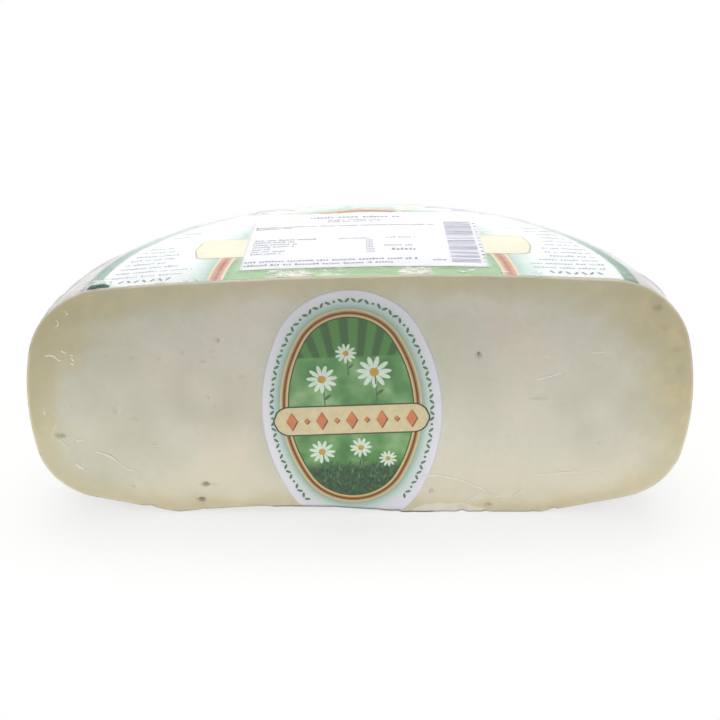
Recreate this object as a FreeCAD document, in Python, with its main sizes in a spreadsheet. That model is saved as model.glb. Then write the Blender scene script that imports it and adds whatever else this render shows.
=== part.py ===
"""Half of a round goat's cheese, standing on its base with the cut side forward.

The cheese is a low barrel with rounded edges, halved on a plane through its
axis. A big round label covers its top and was cut through with it, a small
rectangular weigh label lies on that one, and an oval label is stuck on the cut
face, with its lower end folded under the cheese.

Frame: +Z up, the cut face towards -Y, the base on Z = 0 and the origin in the
middle of the box round the whole part. Sizes are given from the wheel's axis,
and set_back() moves each solid so that the origin comes to lie there.
"""
import FreeCAD, Part
import math
import os
import Sketcher

from FreeCAD import Vector

# Driving sizes, in millimetres and degrees: name, value, what it is.
SIZES = [
    ("wheel_radius", 134.0, "widest radius of the whole wheel"),
    ("wheel_height", 106.4, "height of the highest point of the top"),
    ("widest_height", 48.0, "height at which the side is widest"),
    ("side_radius", 110.0, "radius of the bulge of the side, seen in section"),
    ("shoulder_radius", 35.0, "rounding between the top and the side"),
    ("heel_radius", 27.0, "rounding between the side and the underside"),
    ("base_radius", 75.0, "radius of the flat that the wheel stands on"),
    ("foot_angle", 12.0, "rise of the underside outside that flat"),
    ("crown_radius", 1400.0, "radius of the slightly domed top"),
    ("crown_shift", 27.0, "how far the highest point lies towards +X"),
    ("crown_back", 35.0, "how far the highest point lies behind the cut"),
    ("hollow_radius", 51.0, "radius of the shallow sunken place in the underside"),
    ("hollow_depth", 3.2, "depth of that place"),
    ("hollow_shift", 29.0, "how far its middle lies towards -X, on the cut"),
    ("label_thickness", 0.25, "thickness of each label"),
    ("round_label_radius", 107.6, "radius of the label on the top"),
    ("weigh_label_length", 98.0, "weigh label, along the cut"),
    ("weigh_label_width", 75.0, "weigh label, across the cut"),
    ("weigh_label_shift", 1.9, "middle of its front edge, towards +X"),
    ("weigh_label_inset", 8.9, "from the cut to the middle of its front edge"),
    ("weigh_label_turn", -0.5, "angle of the weigh label to the cut"),
    ("oval_half_width", 36.7, "half width of the oval label"),
    ("oval_half_height", 53.25, "half height of the oval label"),
    ("oval_roundness", 0.845, "radius of the oval label's two ends, as a share of its half width"),
    ("oval_shift", 3.2, "how far the oval label lies towards -X"),
    ("oval_height", 47.0, "height of the oval label's middle"),
    ("oval_turn", 2.2, "angle of the oval label's long axis to the vertical"),
]

SHEET = "Sizes"
SET_BACK = "-($wheel_radius - $label_thickness) / 2"
BEYOND = 400.0      # how far the shapes that only trim reach, past every surface
SPARE = 5.0         # height left above the top until it is cut to its dome

doc = FreeCAD.newDocument("half_goat_cheese")
size = {name: value for name, value, meaning in SIZES}


# The spreadsheet, and what ties the model to it.

def fill_sheet():
    """Put every driving size in the spreadsheet, under its own alias."""
    sheet = doc.addObject("Spreadsheet::Sheet", SHEET)
    for row, (name, value, meaning) in enumerate(SIZES, start=1):
        sheet.set("A%d" % row, name)
        sheet.set("B%d" % row, str(value))
        sheet.set("C%d" % row, meaning)
        sheet.setAlias("B%d" % row, name)
    doc.recompute()


def bind(thing, setting, formula):
    """Tie a setting to the spreadsheet; $ in the formula stands for the sheet."""
    thing.setExpression(setting, formula.replace("$", SHEET + "."))


def set_back(thing, x="0", y="0", z="0"):
    """Place a solid in the part's frame, at x, y, z from the wheel's axis."""
    bind(thing, "Placement.Base.x", x)
    bind(thing, "Placement.Base.y", SET_BACK + " + (" + y + ")")
    bind(thing, "Placement.Base.z", z)


# Sketches.

def new_sketch(body, name, role):
    """A sketch on one of the body's own origin planes."""
    sketch = body.newObject("Sketcher::SketchObject", name)
    plane = [item for item in body.Origin.OriginFeatures if item.Role == role][0]
    sketch.AttachmentSupport = [(plane, "")]
    sketch.MapMode = "FlatFace"
    return sketch


def drawn_value(sketch, kind, places):
    """What a dimension measures on the sketch as it is drawn."""
    if kind == "Radius":
        return sketch.Geometry[places[0]].Radius
    if kind == "Angle":
        line = sketch.Geometry[places[0]]
        step = line.EndPoint - line.StartPoint
        return math.atan2(step.y, step.x)
    step = sketch.getPoint(*places[2:]) - sketch.getPoint(*places[:2])
    return step.x if kind == "DistanceX" else step.y


def dimension(sketch, kind, formula, *places):
    """A dimension that takes its value from the spreadsheet."""
    value = drawn_value(sketch, kind, places)
    index = sketch.addConstraint(Sketcher.Constraint(kind, *places, value))
    name = "dimension_%d" % index
    sketch.renameConstraint(index, name)
    bind(sketch, "Constraints." + name, formula)


def tie(sketch, kind, *places):
    """A constraint without a dimension."""
    sketch.addConstraint(Sketcher.Constraint(kind, *places))


def pin(sketch, place, x, y):
    """Hold a point of the sketch at the formulas x, y."""
    dimension(sketch, "DistanceX", x, -1, 1, *place)
    dimension(sketch, "DistanceY", y, -1, 1, *place)


def add_line(sketch, start, end):
    """A straight edge; its number in the sketch."""
    return sketch.addGeometry(Part.LineSegment(Vector(*start), Vector(*end)))


def add_arc(sketch, centre, radius, start, end):
    """An arc that runs anticlockwise from one angle to another, in degrees."""
    circle = Part.Circle(Vector(*centre), Vector(0, 0, 1), radius)
    return sketch.addGeometry(Part.ArcOfCircle(circle, math.radians(start), math.radians(end)))


# Features.

def revolve(body, kind, sketch, axis):
    """Turn a sketch into a solid of revolution, or cut one away."""
    feature = body.newObject("PartDesign::" + kind, sketch.Name + "_turned")
    feature.Profile = sketch
    feature.ReferenceAxis = (sketch, [axis])
    feature.Angle = 360.0
    doc.recompute()
    return feature


def edges_between(shape, low, high, inner):
    """Names of the edges that lie between two heights and outside a radius."""
    names = []
    for number, edge in enumerate(shape.Edges, start=1):
        if edge.Degenerated:
            continue
        points = edge.discretize(9)
        if all(low < p.z < high and math.hypot(p.x, p.y) > inner for p in points):
            names.append("Edge%d" % number)
    return names


def round_off(body, name, base, edges, formula):
    """Round some edges of the solid so far."""
    fillet = body.newObject("PartDesign::Fillet", name)
    fillet.Base = (base, edges)
    bind(fillet, "Radius", formula)
    doc.recompute()
    return fillet


# The cheese.

def barrel_sketch(body):
    """Section of the wheel, from its axis out, still taller than the wheel."""
    base, radius = size["base_radius"], size["side_radius"]
    middle = size["wheel_radius"] - radius
    widest, blank = size["widest_height"], size["wheel_height"] + SPARE
    low = -math.degrees(math.asin(0.8 * widest / radius))
    high = math.degrees(math.asin((blank - widest) / radius))
    foot = (middle + radius * math.cos(math.radians(low)), 0.2 * widest)
    rim = (middle + radius * math.cos(math.radians(high)), blank)
    sketch = new_sketch(body, "barrel", "XZ_Plane")
    flat = add_line(sketch, (0, 0), (base, 0))
    rise = add_line(sketch, (base, 0), foot)
    side = add_arc(sketch, (middle, widest), radius, low, high)
    top = add_line(sketch, rim, (0, blank))
    axis = add_line(sketch, (0, blank), (0, 0))
    for first, last in ((flat, rise), (top, axis), (axis, flat)):
        tie(sketch, "Coincident", first, 2, last, 1)
    tie(sketch, "Coincident", rise, 2, side, 1)
    tie(sketch, "Coincident", side, 2, top, 1)
    tie(sketch, "Horizontal", flat)
    tie(sketch, "Horizontal", top)
    tie(sketch, "Coincident", flat, 1, -1, 1)
    tie(sketch, "Vertical", axis)
    dimension(sketch, "DistanceX", "$base_radius", -1, 1, flat, 2)
    dimension(sketch, "Angle", "$foot_angle * 1 deg", rise)
    dimension(sketch, "Radius", "$side_radius", side)
    pin(sketch, (side, 3), "$wheel_radius - $side_radius", "$widest_height")
    dimension(sketch, "DistanceY", "$wheel_height + %g" % SPARE, -1, 1, top, 1)
    return sketch


def crown_sketch(body):
    """Section of what is above the top: it is cut away round its left edge."""
    shift, height, radius = size["crown_shift"], size["wheel_height"], size["crown_radius"]
    reach = shift + BEYOND
    spread = math.degrees(math.asin(BEYOND / radius))
    edge = (reach, height - radius * (1 - math.cos(math.radians(spread))))
    sketch = new_sketch(body, "crown", "XZ_Plane")
    bind(sketch, "AttachmentOffset.Base.z", "-$crown_back")
    dome = add_arc(sketch, (shift, height - radius), radius, 90 - spread, 90)
    left = add_line(sketch, (shift, height), (shift, height + BEYOND))
    above = add_line(sketch, (shift, height + BEYOND), (reach, height + BEYOND))
    right = add_line(sketch, (reach, height + BEYOND), edge)
    tie(sketch, "Coincident", dome, 2, left, 1)
    tie(sketch, "Coincident", left, 2, above, 1)
    tie(sketch, "Coincident", above, 2, right, 1)
    tie(sketch, "Coincident", right, 2, dome, 1)
    tie(sketch, "Vertical", left)
    tie(sketch, "Horizontal", above)
    tie(sketch, "Vertical", right)
    pin(sketch, (dome, 2), "$crown_shift", "$wheel_height")
    pin(sketch, (dome, 3), "$crown_shift", "$wheel_height - $crown_radius")
    pin(sketch, (above, 2), "$crown_shift + %g" % BEYOND, "$wheel_height + %g" % BEYOND)
    axis = add_line(sketch, (shift, 0), (shift, height))
    sketch.setConstruction(axis, True)
    tie(sketch, "Vertical", axis)
    tie(sketch, "Coincident", axis, 2, left, 1)
    dimension(sketch, "DistanceY", "0", -1, 1, axis, 1)
    return sketch


def hollow_sketch(body):
    """Section of the sunken place: a shallow cap that runs out through the base."""
    middle, depth, reach = -size["hollow_shift"], size["hollow_depth"], size["hollow_radius"]
    radius = (reach ** 2 + depth ** 2) / (2 * depth)
    spread = math.degrees(math.acos(1 - 2 * depth / radius))
    low = (middle + radius * math.sin(math.radians(spread)), -depth)
    sketch = new_sketch(body, "hollow", "XZ_Plane")
    cap = add_arc(sketch, (middle, depth - radius), radius, 90 - spread, 90)
    left = add_line(sketch, (middle, depth), (middle, -depth))
    below = add_line(sketch, (middle, -depth), low)
    tie(sketch, "Coincident", cap, 2, left, 1)
    tie(sketch, "Coincident", left, 2, below, 1)
    tie(sketch, "Coincident", below, 2, cap, 1)
    tie(sketch, "Vertical", left)
    tie(sketch, "Horizontal", below)
    cap_radius = "($hollow_radius ^ 2 + $hollow_depth ^ 2) / (2 * $hollow_depth)"
    pin(sketch, (cap, 2), "-$hollow_shift", "$hollow_depth")
    dimension(sketch, "DistanceX", "-$hollow_shift", -1, 1, cap, 3)
    dimension(sketch, "Radius", cap_radius, cap)
    dimension(sketch, "DistanceY", "-$hollow_depth", -1, 1, left, 2)
    axis = add_line(sketch, (middle, depth), (middle, 2 * depth))
    sketch.setConstruction(axis, True)
    tie(sketch, "Vertical", axis)
    tie(sketch, "Coincident", axis, 1, cap, 2)
    dimension(sketch, "DistanceY", "2 * $hollow_depth", -1, 1, axis, 2)
    return sketch


def halve(body):
    """Cut away everything in front of the XZ plane."""
    sketch = new_sketch(body, "cut_off_half", "XZ_Plane")
    corners = [(-BEYOND, -BEYOND), (BEYOND, -BEYOND), (BEYOND, BEYOND), (-BEYOND, BEYOND)]
    edges = [add_line(sketch, corners[i - 1], corners[i]) for i in range(4)]
    for i in range(4):
        tie(sketch, "Coincident", edges[i - 1], 2, edges[i], 1)
        pin(sketch, (edges[i], 2), "%g" % corners[i][0], "%g" % corners[i][1])
    whole = body.Shape.Volume
    pocket = body.newObject("PartDesign::Pocket", "halved")
    pocket.Profile = sketch
    pocket.Type = 1                 # through all
    pocket.Reversed = True
    doc.recompute()
    if not 0.4 < body.Shape.Volume / whole < 0.6:
        raise SystemExit("the wheel was not halved")


def make_cheese():
    """The half wheel: rind, cut face, domed top and sunken place below."""
    body = doc.addObject("PartDesign::Body", "cheese")
    set_back(body)
    barrel = revolve(body, "Revolution", barrel_sketch(body), "V_Axis")
    blank_volume = barrel.Shape.Volume
    topped = revolve(body, "Groove", crown_sketch(body), "Axis0")
    if not topped.Shape.Volume < blank_volume:
        raise SystemExit("the top was not cut to its height")
    widest = size["widest_height"]
    rim = edges_between(topped.Shape, widest, 2 * size["wheel_height"], size["base_radius"])
    shoulder = round_off(body, "shoulder", topped, rim, "$shoulder_radius")
    foot = edges_between(shoulder.Shape, 0.001, widest, size["base_radius"])
    heel = round_off(body, "heel", shoulder, foot, "$heel_radius")
    hollow = revolve(body, "Groove", hollow_sketch(body), "Axis0")
    if not hollow.Shape.Volume < heel.Shape.Volume:
        raise SystemExit("the sunken place was not cut")
    halve(body)
    return body


# The labels: skins between the cheese and a copy of it moved out by their thickness.

def moved_copy(cheese, name, y, z):
    """The same cheese, moved out by y and z."""
    copy = doc.addObject("App::Link", name)
    copy.LinkedObject = cheese
    copy.LinkTransform = False
    set_back(copy, y=y, z=z)
    return copy


def skin(name, outer, inner, outline):
    """What an outline marks off between two positions of the cheese."""
    piece = doc.addObject("Part::MultiCommon", name + "_marked")
    piece.Shapes = [outer, outline]
    label = doc.addObject("Part::Cut", name)
    label.Base = piece
    label.Tool = inner
    return label


def make_round_label(lifted, cheese):
    """The big label on the top, ending flush with the cut."""
    outline = doc.addObject("Part::Cylinder", "round_outline")
    bind(outline, "Radius", "$round_label_radius")
    bind(outline, "Height", "$wheel_height")
    set_back(outline, z="$widest_height")
    return skin("wheel_label", lifted, cheese, outline)


def make_weigh_label(lifted, wheel_label_top):
    """The rectangular label that lies on the big one."""
    outline = doc.addObject("Part::Box", "weigh_outline")
    bind(outline, "Length", "$weigh_label_length")
    bind(outline, "Width", "$weigh_label_width")
    bind(outline, "Height", "$wheel_height")
    turn = "$weigh_label_turn * 1 deg"
    bind(outline, "Placement.Rotation.Angle", turn)
    x = "$weigh_label_shift - $weigh_label_length / 2 * cos(" + turn + ")"
    y = "$weigh_label_inset - $weigh_label_length / 2 * sin(" + turn + ")"
    set_back(outline, x, y, "$widest_height")
    return skin("weigh_label", lifted, wheel_label_top, outline)


def oval_prism(name, plane, middle, turn, thickness):
    """The oval label's outline, drawn about its own middle and thickened."""
    wide, tall = size["oval_half_width"], size["oval_half_height"]
    end = size["oval_roundness"] * wide
    side = ((tall - end) ** 2 + wide ** 2 - end ** 2) / (2 * (wide - end))
    meet = math.degrees(math.atan2(tall - end, side - wide))
    body = doc.addObject("PartDesign::Body", name)
    set_back(body)
    sketch = new_sketch(body, name + "_oval", plane)
    bind(sketch, "AttachmentOffset.Base.x", "-$oval_shift")
    bind(sketch, "AttachmentOffset.Base.y", middle)
    bind(sketch, "AttachmentOffset.Rotation.Angle", turn + " * 1 deg")
    top = add_arc(sketch, (0, tall - end), end, meet, 180 - meet)
    left = add_arc(sketch, (side - wide, 0), side, 180 - meet, 180 + meet)
    foot = add_arc(sketch, (0, end - tall), end, 180 + meet, 360 - meet)
    right = add_arc(sketch, (wide - side, 0), side, -meet, meet)
    arcs = (top, left, foot, right)
    for i in range(4):
        tie(sketch, "Tangent", arcs[i - 1], 2, arcs[i], 1)
    ends = "($oval_roundness * $oval_half_width)"
    for arc in (top, foot):
        tie(sketch, "PointOnObject", arc, 3, -2)
        dimension(sketch, "Radius", ends, arc)
    tie(sketch, "Equal", left, right)
    reach = "($oval_half_height - %s)" % ends
    dimension(sketch, "DistanceY", reach, -1, 1, top, 3)
    dimension(sketch, "DistanceY", "-" + reach, -1, 1, foot, 3)
    sides = "((%s ^ 2 + $oval_half_width ^ 2 - %s ^ 2) / (2 * ($oval_half_width - %s)))" % (reach, ends, ends)
    dimension(sketch, "Radius", sides, left)
    pad = body.newObject("PartDesign::Pad", name + "_pad")
    pad.Profile = sketch
    bind(pad, "Length", thickness)
    doc.recompute()
    return body


def make_face_label(moved, cheese):
    """The oval label on the cut face, folded under the cheese at its lower end."""
    folded = "-($oval_height - $hollow_depth)"
    front = oval_prism("oval_front", "XZ_Plane", "$oval_height", "$oval_turn", "$label_thickness")
    under = oval_prism("oval_under", "XY_Plane", folded, "-$oval_turn", "$hollow_depth")
    outline = doc.addObject("Part::MultiFuse", "oval_outline")
    outline.Shapes = [front, under]
    above_ground = doc.addObject("Part::Box", "above_ground")
    for side in ("Length", "Width", "Height"):
        bind(above_ground, side, "%g" % (2 * BEYOND))
    set_back(above_ground, "-%g" % BEYOND, "-%g" % BEYOND, "0")
    standing = doc.addObject("Part::Common", "oval_above_ground")
    standing.Base = outline
    standing.Tool = above_ground
    return skin("face_label", moved, cheese, standing)


def check_and_write(parts):
    """Stop if any object failed, then write one file for each piece."""
    doc.recompute()
    for thing in doc.Objects:
        if "Invalid" in thing.State or "Error" in thing.State:
            raise SystemExit("%s failed: %s" % (thing.Label, thing.State))
    for part in parts:
        if part.Shape.isNull() or not part.Shape.isValid() or len(part.Shape.Solids) != 1:
            raise SystemExit("%s is not one sound solid" % part.Label)
    os.makedirs("parts", exist_ok=True)
    for part in parts:
        part.Shape.exportStep("parts/%s.step" % part.Label)
        box = part.Shape.optimalBoundingBox(False)
        print("%-12s %10.1f mm3  X %.2f..%.2f  Y %.2f..%.2f  Z %.2f..%.2f" % (
            part.Label, part.Shape.Volume, box.XMin, box.XMax, box.YMin, box.YMax,
            box.ZMin, box.ZMax))


fill_sheet()
cheese = make_cheese()
lifted_once = moved_copy(cheese, "lifted_once", "0", "$label_thickness")
lifted_twice = moved_copy(cheese, "lifted_twice", "0", "2 * $label_thickness")
moved_out = moved_copy(cheese, "moved_out", "-$label_thickness", "-$label_thickness")
wheel_label = make_round_label(lifted_once, cheese)
weigh_label = make_weigh_label(lifted_twice, lifted_once)
face_label = make_face_label(moved_out, cheese)
check_and_write([cheese, wheel_label, weigh_label, face_label])
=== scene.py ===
"""Looks for the half wheel of goat cheese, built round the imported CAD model."""
import math
import random

import bmesh
import bpy
import numpy as np
from mathutils import Matrix, Vector, noise
from mathutils.bvhtree import BVHTree
from mathutils.kdtree import KDTree


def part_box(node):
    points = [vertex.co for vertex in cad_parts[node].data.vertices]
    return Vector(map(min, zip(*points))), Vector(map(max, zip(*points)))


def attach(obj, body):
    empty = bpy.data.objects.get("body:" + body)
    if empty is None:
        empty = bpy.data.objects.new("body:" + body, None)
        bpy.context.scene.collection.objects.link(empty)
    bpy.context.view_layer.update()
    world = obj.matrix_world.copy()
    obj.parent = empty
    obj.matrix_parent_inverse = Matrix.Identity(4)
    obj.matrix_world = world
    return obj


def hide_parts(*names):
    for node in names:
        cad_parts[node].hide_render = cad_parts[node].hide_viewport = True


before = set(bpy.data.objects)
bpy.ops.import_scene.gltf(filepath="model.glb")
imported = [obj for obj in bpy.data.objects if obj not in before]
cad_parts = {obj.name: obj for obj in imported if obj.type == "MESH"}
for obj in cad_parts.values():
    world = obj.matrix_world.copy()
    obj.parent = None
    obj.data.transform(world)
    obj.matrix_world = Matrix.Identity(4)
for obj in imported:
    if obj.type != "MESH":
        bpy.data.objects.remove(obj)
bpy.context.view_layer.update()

MM = 0.001
LOW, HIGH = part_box("cheese")
CUT = LOW[1]                      # the cut face's plane
HEIGHT = HIGH[2]                  # of the wheel
AXIS = Vector((0.0, CUT, 0.0))    # the wheel's axis stands here
FRONT, TOP = Vector((0, 1, 0)), Vector((0, 0, -1))    # ways to look at the cut face and at the top
OUTSIDE = 0.02                    # a look along them starts this far outside the cheese


# Small tools.

def colour(hex_code):
    """An sRGB hex colour as linear RGBA."""
    parts = [int(hex_code[i:i + 2], 16) / 255 for i in (0, 2, 4)]
    linear = [p / 12.92 if p <= 0.04045 else ((p + 0.055) / 1.055) ** 2.4 for p in parts]
    return (*linear, 1.0)


def add(tree, kind, inputs=None, stops=None, **settings):
    """Add a shader node with its settings, ramp stops and inputs. A node given as an input links
    its live output, a text is a hex colour, and a ramp's stop is a hex colour or a grey."""
    item = tree.nodes.new("ShaderNode" + kind)
    for name, value in settings.items():
        setattr(item, name, value)
    if stops:
        marks = item.color_ramp.elements
        marks.remove(marks[-1])
        for number, (place, shade) in enumerate(stops.items()):
            mark = marks.new(place) if number else marks[0]
            mark.position = place
            mark.color = colour(shade) if isinstance(shade, str) else (shade, shade, shade, 1)
    for name, value in (inputs or {}).items():
        if isinstance(value, bpy.types.Node):
            value = next(socket for socket in value.outputs if socket.enabled)
        if isinstance(value, bpy.types.NodeSocket):
            tree.links.new(value, item.inputs[name])
        else:
            item.inputs[name].default_value = colour(value) if isinstance(value, str) else value
    return item


def new_material(name):
    """An empty node material, and its tree."""
    material = bpy.data.materials.new(name)
    material.use_nodes = True
    material.node_tree.nodes.clear()
    return material, material.node_tree


def new_piece(name, bm, materials, slot, node, smooth=True):
    """A finished piece on the one body, which stands for a CAD node."""
    mesh = bpy.data.meshes.new(name)
    bm.to_mesh(mesh)
    bm.free()
    mesh.polygons.foreach_set("use_smooth", [smooth] * len(mesh.polygons))
    for material in materials:
        mesh.materials.append(material)
    piece = bpy.data.objects.new(name, mesh)
    bpy.context.scene.collection.objects.link(piece)
    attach(piece, "root")
    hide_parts(node)
    return piece


def ease(value, low, high):
    """0 below low, 1 above high, and a smooth rise between them."""
    share = np.clip((value - low) / (high - low), 0.0, 1.0)
    return share * share * (3 - 2 * share)


def rough(points, size, seed=0.0):
    """Smooth noise from -1 to 1 at each point; size is the width of its swellings."""
    return np.array([noise.noise(Vector(p)) for p in points / np.asarray(size) + seed])


def places(bm):
    """The vertices of a bmesh as an array."""
    return np.array([vert.co for vert in bm.verts])


def move_to(verts, points):
    """Put vertices at the rows of an array."""
    for vert, point in zip(verts, points):
        vert.co = point


def store(piece, name, values):
    """Keep a number for each vertex, for the material to read."""
    piece.data.attributes.new(name, "FLOAT", "POINT").data.foreach_set(
        "value", np.asarray(values, np.float32))


def spaced(points, count):
    """count + 1 points at equal steps along a line of points."""
    points = np.asarray(points)
    steps = np.linalg.norm(np.diff(points, axis=0), axis=1)
    along = np.concatenate([[0.0], np.cumsum(steps)])
    marks = np.linspace(0.0, along[-1], count + 1)
    return np.column_stack([np.interp(marks, along, column) for column in points.T])


def patch(bm, outline, across, up):
    """A grid stretched to a closed outline of 2 * (across + up) points, which runs
    anticlockwise from the middle of its lower side."""
    made = bmesh.ops.create_grid(bm, x_segments=across, y_segments=up, size=1.0)["verts"]
    i = np.array([round((vert.co.x + 1) / 2 * across) for vert in made])
    j = np.array([round((vert.co.y + 1) / 2 * up) for vert in made])
    outline = np.roll(np.asarray(outline), across // 2, axis=0)
    corners = np.cumsum([0, across, up, across, up])
    closed = np.vstack([outline, outline[:1]])
    lower, right, upper, left = (closed[corners[k]:corners[k + 1] + 1] for k in range(4))
    upper, left = upper[::-1], left[::-1]
    u, v = (i / across)[:, None], (j / up)[:, None]
    blend = (1 - v) * lower[i] + v * upper[i] + (1 - u) * left[j] + u * right[j]
    blend -= (1 - v) * ((1 - u) * lower[0] + u * lower[-1])
    blend -= v * ((1 - u) * upper[0] + u * upper[-1])
    move_to(made, blend)


def thicken(bm, aim, thickness):
    """Turn flat shapes to face a look along aim, and give them a thickness outwards."""
    bmesh.ops.recalc_face_normals(bm, faces=bm.faces[:])
    if sum(face.normal.dot(aim) for face in bm.faces) > 0:
        bmesh.ops.reverse_faces(bm, faces=bm.faces[:])
    bmesh.ops.solidify(bm, geom=bm.faces[:], thickness=-thickness)
    bmesh.ops.recalc_face_normals(bm, faces=bm.faces[:])


def press(bm, ground, aim, lift, thickness):
    """Lay flat shapes, with their rise as Z, on what a look along aim meets, and thicken them."""
    for vert in bm.verts:
        across, along = vert.co.x, vert.co.y
        if aim is FRONT:
            start = Vector((across, CUT - OUTSIDE, along))
        else:
            start = Vector((across, max(along, CUT + 0.6 * MM), HEIGHT + OUTSIDE))
        hit = ground.ray_cast(start, aim)[0]
        if hit is None:
            raise SystemExit("nothing lies under a flat shape at %.4f, %.4f" % (across, along))
        vert.co = hit - aim * (lift + vert.co.z)
    thicken(bm, aim, thickness)


# Camera, floor and light.

LENS = 55.14                      # in millimetres, on a sensor 36 mm wide
CAMERA_BACK, CAMERA_UP = 0.39878, 0.25061     # how far from the cut and above the floor it stands
CAMERA_DIP = 24.31                # how far it looks down, in degrees

# Each soft box: name, place, what it points at, size, watts, tint, and whether gloss mirrors it.
LAMPS = [
    ("overhead_box", (0.0, 0.45, 1.05), (0, 0.05, 0.05), (1.4, 0.9), 11.4,
     (1.0, 0.995, 0.985), True),
    ("side_box", (-1.20, 0.02, 0.55), (0, 0.02, 0.07), (0.9, 0.7), 2.6, (0.99, 0.99, 1.0), True),
    ("side_box", (1.20, 0.02, 0.55), (0, 0.02, 0.07), (0.9, 0.7), 2.0, (0.99, 0.99, 1.0), True),
    ("back_box", (0.0, 1.15, 0.60), (0, 0, 0.06), (1.5, 0.5), 2.2, (0.985, 0.99, 1.0), True),
    ("front_box", (0.10, -1.25, 0.45), (0, 0, 0.05), (1.2, 0.7), 3.2, (1.0, 0.99, 0.965), True),
    ("low_bounce", (0.0, CUT - 0.084, 0.002), (0, CUT, 0.020), (0.60, 0.045), 0.24,
     (1.0, 0.985, 0.955), False),
    ("upper_fill", (0.0, CUT - 0.10, 0.15), (0, CUT, 0.10), (0.60, 0.045), 0.09,
     (1.0, 0.985, 0.95), False)]


def set_camera():
    """A normal lens at the height of a shopper leaning over the counter."""
    lens = bpy.data.cameras.new("camera")
    lens.lens, lens.sensor_width = LENS, 36.0
    lens.clip_start, lens.clip_end = 0.01, 50.0
    camera = bpy.data.objects.new("camera", lens)
    bpy.context.scene.collection.objects.link(camera)
    camera.location = (0.0, CUT - CAMERA_BACK, CAMERA_UP)
    camera.rotation_euler = (math.radians(90 - CAMERA_DIP), 0.0, 0.0)
    bpy.context.scene.camera = camera


def set_floor():
    """A pale paper sweep that keeps a soft shadow near the cheese and goes white further out."""
    bm = bmesh.new()
    bmesh.ops.create_grid(bm, x_segments=1, y_segments=1, size=6.0,
                          matrix=Matrix.Translation((0, 0, -0.0002)))
    mesh = bpy.data.meshes.new("floor")
    bm.to_mesh(mesh)
    bm.free()
    floor = bpy.data.objects.new("floor", mesh)
    bpy.context.scene.collection.objects.link(floor)
    material, tree = new_material("white_paper_sweep")
    mesh.materials.append(material)
    place = add(tree, "TexCoord").outputs["Object"]
    place = add(tree, "Mapping", {"Vector": place, "Scale": (1.0, 2.2, 1.0)})
    away = add(tree, "VectorMath", {0: place}, operation="LENGTH").outputs["Value"]
    fade = add(tree, "MapRange", {"Value": away, "From Min": 0.15, "From Max": 0.38,
                                  "To Min": 0.68, "To Max": 1.0}, interpolation_type="SMOOTHSTEP")
    ray = add(tree, "LightPath")
    seen = add(tree, "Math", {0: ray.outputs["Is Camera Ray"], 1: ray.outputs["Is Glossy Ray"]},
               operation="MAXIMUM")
    seen = add(tree, "Math", {0: seen, 1: ray.outputs["Is Transmission Ray"]}, operation="MAXIMUM")
    share = add(tree, "Math", {0: seen, 1: fade}, operation="MULTIPLY")
    paper = add(tree, "BsdfDiffuse", {"Color": "f4f4f2"})
    white = add(tree, "Emission", {"Color": (1, 1, 1, 1), "Strength": 1.0})
    mixed = add(tree, "MixShader", {0: share, 1: paper, 2: white})
    add(tree, "OutputMaterial", {"Surface": mixed})


def set_world():
    """An even pale room, white where it is seen or mirrored."""
    world = bpy.data.worlds.new("room")
    world.use_nodes = True
    bpy.context.scene.world = world
    tree = world.node_tree
    tree.nodes.clear()
    ray = add(tree, "LightPath")
    seen = add(tree, "Math", {0: ray.outputs["Is Camera Ray"],
                              1: ray.outputs["Is Transmission Ray"]},
               operation="MAXIMUM")
    dim = add(tree, "Background", {"Color": (0.97, 0.985, 1.0, 1.0), "Strength": 0.30})
    white = add(tree, "Background", {"Color": (1, 1, 1, 1), "Strength": 1.0})
    mirrored = add(tree, "Background", {"Color": (1, 1, 1, 1), "Strength": 0.8})
    shown = add(tree, "MixShader", {0: ray.outputs["Is Glossy Ray"], 1: dim, 2: mirrored})
    shown = add(tree, "MixShader", {0: seen, 1: shown, 2: white})
    add(tree, "OutputWorld", {"Surface": shown})


def set_lamp(name, location, aim, size, power, tint, mirrored):
    """One soft box."""
    lamp = bpy.data.lights.new(name, "AREA")
    lamp.shape, lamp.size, lamp.size_y = "RECTANGLE", size[0], size[1]
    lamp.energy, lamp.color = power, tint
    item = bpy.data.objects.new(name, lamp)
    bpy.context.scene.collection.objects.link(item)
    item.location = location
    item.rotation_euler = (Vector(aim) - Vector(location)).to_track_quat("-Z", "Y").to_euler()
    item.visible_camera, item.visible_glossy = False, mirrored


bpy.context.scene.view_settings.view_transform = "Standard"
set_camera()
set_floor()
set_world()
for lamp in LAMPS:
    set_lamp(*lamp)


# The cheese: the cut's outline from the CAD model, spun half a turn, and closed by the cut face.

ACROSS, UP, TURNS = 190, 74, 200  # steps across the cut, up it, and round the rind
MERGE = 0.01 * MM                 # vertices nearer to each other than this are one
FLAT = 1e-6                       # how exactly a vertex lies in the cut face


def cad_surface(node):
    """The surface of a CAD node, to look up places on."""
    bm = bmesh.new()
    bm.from_mesh(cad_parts[node].data)
    bmesh.ops.remove_doubles(bm, verts=bm.verts[:], dist=FLAT)
    surface = BVHTree.FromBMesh(bm)
    bm.free()
    return surface


def half_outline(ground, side):
    """The cut's outline from the middle of its foot to the middle of its top, on one side."""
    hub = Vector((0, CUT + 0.05 * MM, HEIGHT / 2))
    hits = []
    for angle in np.linspace(-math.pi / 2, math.pi / 2, 1801):
        hit = ground.ray_cast(hub, Vector((side * math.cos(angle), 0, math.sin(angle))))[0]
        hits.append((hit.x, CUT, hit.z))
    hits[0], hits[-1] = (0, CUT, hits[0][2]), (0, CUT, hits[-1][2])
    return spaced(hits, ACROSS + UP)


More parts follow.
